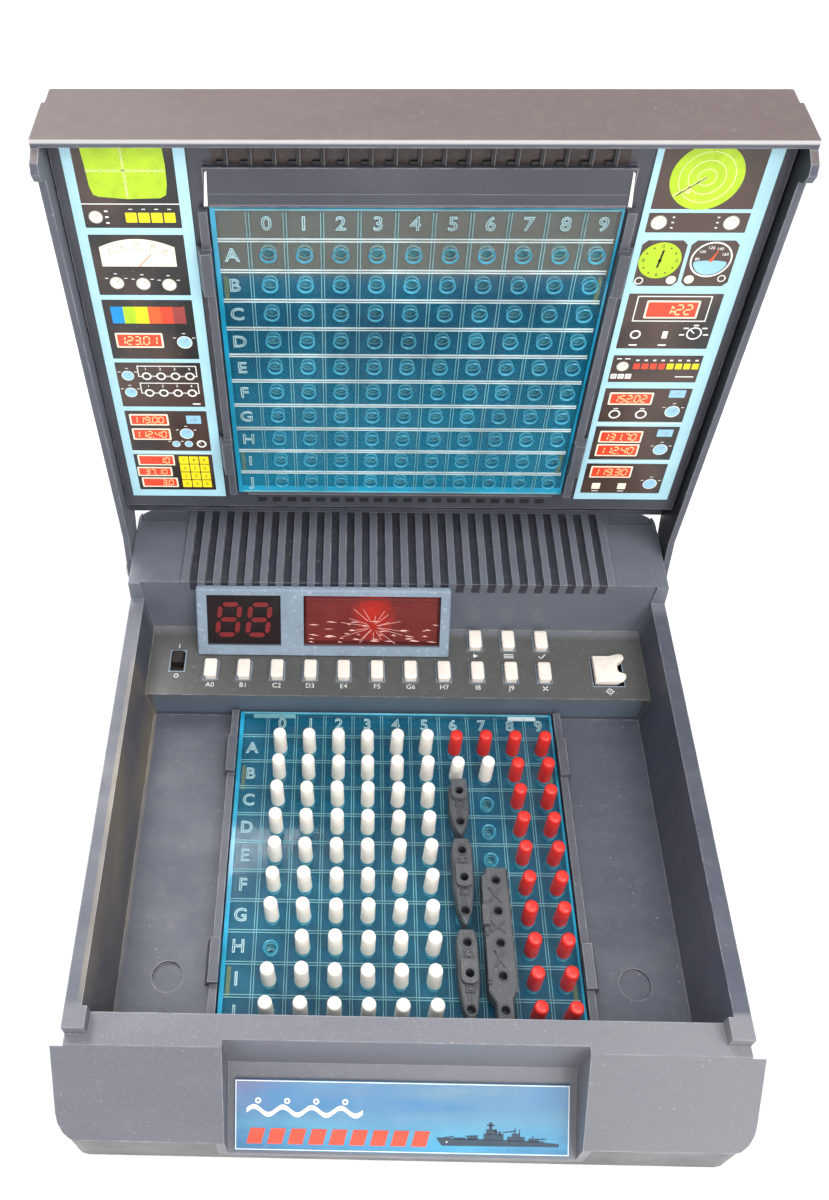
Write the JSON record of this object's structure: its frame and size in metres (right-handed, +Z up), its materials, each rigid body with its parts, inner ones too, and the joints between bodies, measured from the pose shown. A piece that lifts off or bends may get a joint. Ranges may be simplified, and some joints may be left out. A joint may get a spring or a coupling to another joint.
{
  "type": "electronic fleet guessing game case",
  "caption": "Clamshell table game case with two translucent peg boards, a key deck with a lit display, pegs and ships.",
  "frame": {"origin": "middle of the footprint of the case with its lid open, on the table under the feet", "axes": "+Z up, +X to the right of the player at the keys, and the front faces -Y"},
  "size_m": [0.2126, 0.2292, 0.2366],
  "materials": {
    "casing": "fine grained",
    "clear_blue": "translucent, gloss",
    "red_lens": "dark translucent red, gloss",
    "module_black": "matt",
    "card_red": "printed",
    "key_cream": "satin",
    "switch_black": "satin",
    "rubber": "matt",
    "laminate": "coated laminate",
    "steel": "plated",
    "cell_skin": "printed steel can",
    "dark_paper": "paper cone on a steel frame",
    "plate_blue": "printed film",
    "sheet_print": "printed film",
    "ship_grey": "satin",
    "peg_white": "satin",
    "peg_red": "satin"
  },
  "bodies": {
    "base": {"upper_case": "casing", "bottom_cover": "casing", "display_box": "casing", "base_rail_left": "casing", "base_rail_right": "casing", "base_board": "clear_blue", "digit_window": "red_lens", "picture_window": "red_lens", "digit_module": "module_black", "picture_card": "card_red", "key_mat": "rubber", "foot_1": "rubber", "foot_2": "rubber", "foot_3": "rubber", "foot_4": "rubber", "circuit_board": "laminate", "battery_contact_left": "steel", "battery_contact_right": "steel", "hinge_pin_left": "steel", "hinge_pin_right": "steel", "screw_1": "steel", "screw_2": "steel", "screw_3": "steel", "screw_4": "steel", "battery_cell_1": "cell_skin", "battery_cell_2": "cell_skin", "battery_cell_3": "cell_skin", "battery_cell_4": "cell_skin", "speaker": "dark_paper", "front_plate": "plate_blue"},
    "lid": {"lid_shell": "casing", "lid_panel": "casing", "lid_board": "clear_blue", "lid_rail_left": "casing", "lid_rail_right": "casing", "instrument_sheet_left": "sheet_print", "instrument_sheet_right": "sheet_print"},
    "key_a0_body": {"key_a0": "key_cream"},
    "key_b1_body": {"key_b1": "key_cream"},
    "key_c2_body": {"key_c2": "key_cream"},
    "key_d3_body": {"key_d3": "key_cream"},
    "key_e4_body": {"key_e4": "key_cream"},
    "key_f5_body": {"key_f5": "key_cream"},
    "key_g6_body": {"key_g6": "key_cream"},
    "key_h7_body": {"key_h7": "key_cream"},
    "key_i8_body": {"key_i8": "key_cream"},
    "key_j9_body": {"key_j9": "key_cream"},
    "key_cancel_body": {"key_cancel": "key_cream"},
    "key_start_body": {"key_start": "key_cream"},
    "key_mode_body": {"key_mode": "key_cream"},
    "key_verify_body": {"key_verify": "key_cream"},
    "key_enter_body": {"key_enter": "key_cream"},
    "power_switch": {"power_switch": "switch_black"},
    "battery_door": {"battery_door": "casing"},
    "patrol_boat": {"patrol_boat": "ship_grey"},
    "submarine": {"submarine": "ship_grey"},
    "cruiser": {"cruiser": "ship_grey"},
    "carrier": {"carrier": "ship_grey"},
    "peg_white": {"peg_white": "peg_white"},
    "peg_red": {"peg_red": "peg_red"}
  },
  "joints": [
    {"name": "lid_hinge", "type": "hinge", "parent": "base", "child": "lid", "pos_m": [0, 0.0874, 0.05488], "axis": [1, 0, 0], "range_deg": [0, 90]},
    {"name": "key_a0_press", "type": "slide", "parent": "base", "child": "key_a0_body", "axis": [0, 0, -1], "range_m": [0, 0.0015], "stiffness_N_per_m": 300, "springref_m": -0.001},
    {"name": "key_b1_press", "type": "slide", "parent": "base", "child": "key_b1_body", "axis": [0, 0, -1], "range_m": [0, 0.0015], "stiffness_N_per_m": 300, "springref_m": -0.001},
    {"name": "key_c2_press", "type": "slide", "parent": "base", "child": "key_c2_body", "axis": [0, 0, -1], "range_m": [0, 0.0015], "stiffness_N_per_m": 300, "springref_m": -0.001},
    {"name": "key_d3_press", "type": "slide", "parent": "base", "child": "key_d3_body", "axis": [0, 0, -1], "range_m": [0, 0.0015], "stiffness_N_per_m": 300, "springref_m": -0.001},
    {"name": "key_e4_press", "type": "slide", "parent": "base", "child": "key_e4_body", "axis": [0, 0, -1], "range_m": [0, 0.0015], "stiffness_N_per_m": 300, "springref_m": -0.001},
    {"name": "key_f5_press", "type": "slide", "parent": "base", "child": "key_f5_body", "axis": [0, 0, -1], "range_m": [0, 0.0015], "stiffness_N_per_m": 300, "springref_m": -0.001},
    {"name": "key_g6_press", "type": "slide", "parent": "base", "child": "key_g6_body", "axis": [0, 0, -1], "range_m": [0, 0.0015], "stiffness_N_per_m": 300, "springref_m": -0.001},
    {"name": "key_h7_press", "type": "slide", "parent": "base", "child": "key_h7_body", "axis": [0, 0, -1], "range_m": [0, 0.0015], "stiffness_N_per_m": 300, "springref_m": -0.001},
    {"name": "key_i8_press", "type": "slide", "parent": "base", "child": "key_i8_body", "axis": [0, 0, -1], "range_m": [0, 0.0015], "stiffness_N_per_m": 300, "springref_m": -0.001},
    {"name": "key_j9_press", "type": "slide", "parent": "base", "child": "key_j9_body", "axis": [0, 0, -1], "range_m": [0, 0.0015], "stiffness_N_per_m": 300, "springref_m": -0.001},
    {"name": "key_cancel_press", "type": "slide", "parent": "base", "child": "key_cancel_body", "axis": [0, 0, -1], "range_m": [0, 0.0015], "stiffness_N_per_m": 300, "springref_m": -0.001},
    {"name": "key_start_press", "type": "slide", "parent": "base", "child": "key_start_body", "axis": [0, 0, -1], "range_m": [0, 0.0015], "stiffness_N_per_m": 300, "springref_m": -0.001},
    {"name": "key_mode_press", "type": "slide", "parent": "base", "child": "key_mode_body", "axis": [0, 0, -1], "range_m": [0, 0.0015], "stiffness_N_per_m": 300, "springref_m": -0.001},
    {"name": "key_verify_press", "type": "slide", "parent": "base", "child": "key_verify_body", "axis": [0, 0, -1], "range_m": [0, 0.0015], "stiffness_N_per_m": 300, "springref_m": -0.001},
    {"name": "key_enter_press", "type": "slide", "parent": "base", "child": "key_enter_body", "axis": [0, 0, -1], "range_m": [0, 0.0015], "stiffness_N_per_m": 300, "springref_m": -0.001},
    {"name": "power_switch_slide", "type": "slide", "parent": "base", "child": "power_switch", "axis": [0, -1, 0], "range_m": [0, 0.0032]},
    {"name": "battery_door_slide", "type": "slide", "parent": "base", "child": "battery_door", "axis": [0, 1, 0], "range_m": [0, 0.06]},
    {"name": "patrol_boat_lift", "type": "slide", "parent": "base", "child": "patrol_boat", "axis": [0, 0, 1], "range_m": [0, 0.012]},
    {"name": "submarine_lift", "type": "slide", "parent": "base", "child": "submarine", "axis": [0, 0, 1], "range_m": [0, 0.012]},
    {"name": "cruiser_lift", "type": "slide", "parent": "base", "child": "cruiser", "axis": [0, 0, 1], "range_m": [0, 0.012]},
    {"name": "carrier_lift", "type": "slide", "parent": "base", "child": "carrier", "axis": [0, 0, 1], "range_m": [0, 0.012]},
    {"name": "peg_white_lift", "type": "slide", "parent": "base", "child": "peg_white", "axis": [0, 0, 1], "range_m": [0, 0.012]},
    {"name": "peg_red_lift", "type": "slide", "parent": "base", "child": "peg_red", "axis": [0, 0, 1], "range_m": [0, 0.012]}
  ]
}
